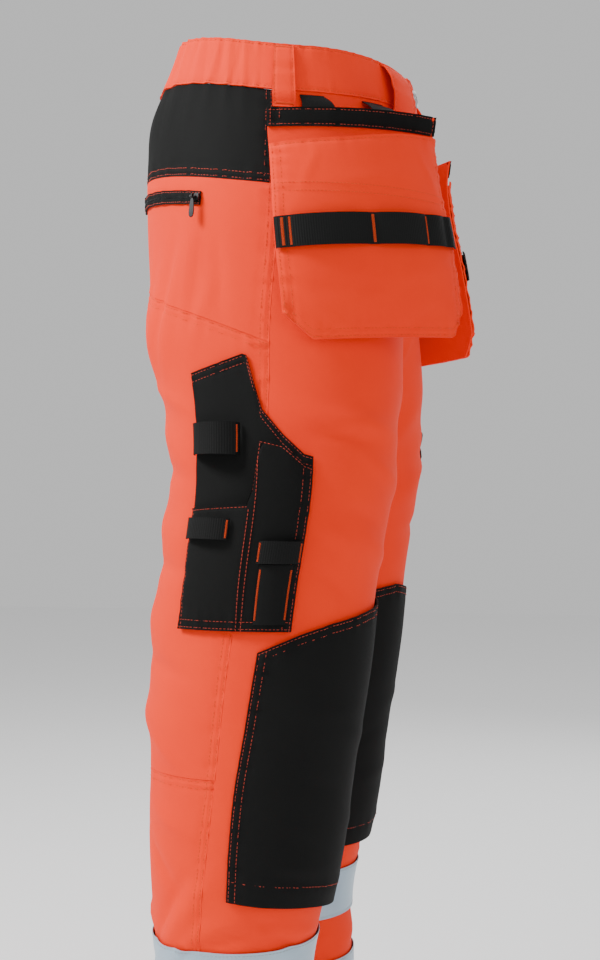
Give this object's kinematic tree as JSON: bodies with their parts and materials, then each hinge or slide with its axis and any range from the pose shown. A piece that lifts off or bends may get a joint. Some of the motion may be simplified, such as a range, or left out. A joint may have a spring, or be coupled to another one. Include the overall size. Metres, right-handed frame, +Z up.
{
  "type": "hi-vis work trousers with holster pockets, standing open as worn",
  "caption": "Orange hi-vis work trousers, hollow as worn, with hanging holster pockets, tool pockets, black knee pockets and reflective tape.",
  "frame": {"origin": "middle of the waist opening, level with the waistband's top edge in front", "axes": "+Z up, the wearer faces -Y, the wearer's right side is -X"},
  "size_m": [0.4163, 0.3078, 1.0786],
  "materials": {
    "orange_twill": "fluorescent orange twill, matt with a faint sheen",
    "black_canvas": "tough black woven canvas, matt",
    "black_webbing": "ribbed black webbing",
    "reflective_tape": "silver retroreflective tape, satin",
    "button_metal": "satin metal",
    "zip_metal": "black enamel"
  },
  "bodies": {
    "trousers": {"front_right": "orange_twill", "front_left": "orange_twill", "seat_right": "orange_twill", "seat_left": "orange_twill", "back_thigh_right": "orange_twill", "back_thigh_left": "orange_twill", "lower_back_right": "orange_twill", "lower_back_left": "orange_twill", "waistband_right": "orange_twill", "waistband_left": "orange_twill", "fly": "orange_twill", "back_loop": "orange_twill", "side_loop_right": "orange_twill", "side_loop_left": "orange_twill", "front_loop_right": "orange_twill", "front_loop_left": "orange_twill", "holster_back_right": "orange_twill", "holster_back_left": "orange_twill", "holster_pouch_right": "orange_twill", "holster_pouch_left": "orange_twill", "cargo_pouch": "orange_twill", "yoke_right": "black_canvas", "yoke_left": "black_canvas", "holster_band_right": "black_canvas", "holster_band_left": "black_canvas", "knee_pocket_right": "black_canvas", "knee_pocket_left": "black_canvas", "tool_back": "black_canvas", "tool_pouch": "black_canvas", "driver_sleeve": "black_canvas", "cargo_flap": "black_canvas", "zip_welt_right": "black_canvas", "zip_welt_left": "black_canvas", "holster_webbing_right": "black_webbing", "holster_webbing_left": "black_webbing", "strap_back_right": "black_webbing", "strap_back_left": "black_webbing", "strap_front_right": "black_webbing", "strap_front_left": "black_webbing", "hammer_loop": "black_webbing", "tool_elastic": "black_webbing", "driver_elastic": "black_webbing", "tape_upper_right": "reflective_tape", "tape_upper_left": "reflective_tape", "tape_lower_right": "reflective_tape", "tape_lower_left": "reflective_tape", "waist_button": "button_metal", "slider_right": "zip_metal", "slider_left": "zip_metal"},
    "zip_pull_right": {"pull_right": "zip_metal"},
    "zip_pull_left": {"pull_left": "zip_metal"}
  },
  "joints": [
    {"name": "pull_swing_right", "type": "hinge", "parent": "trousers", "child": "zip_pull_right", "pos_m": [-0.17153, 0.06116, -0.13225], "axis": [0.4057, 0.914, 0], "range_deg": [0, 150]},
    {"name": "pull_swing_left", "type": "hinge", "parent": "trousers", "child": "zip_pull_left", "pos_m": [0.17105, 0.06116, -0.13229], "axis": [0.4442, -0.8959, 0], "range_deg": [0, 150]}
  ]
}
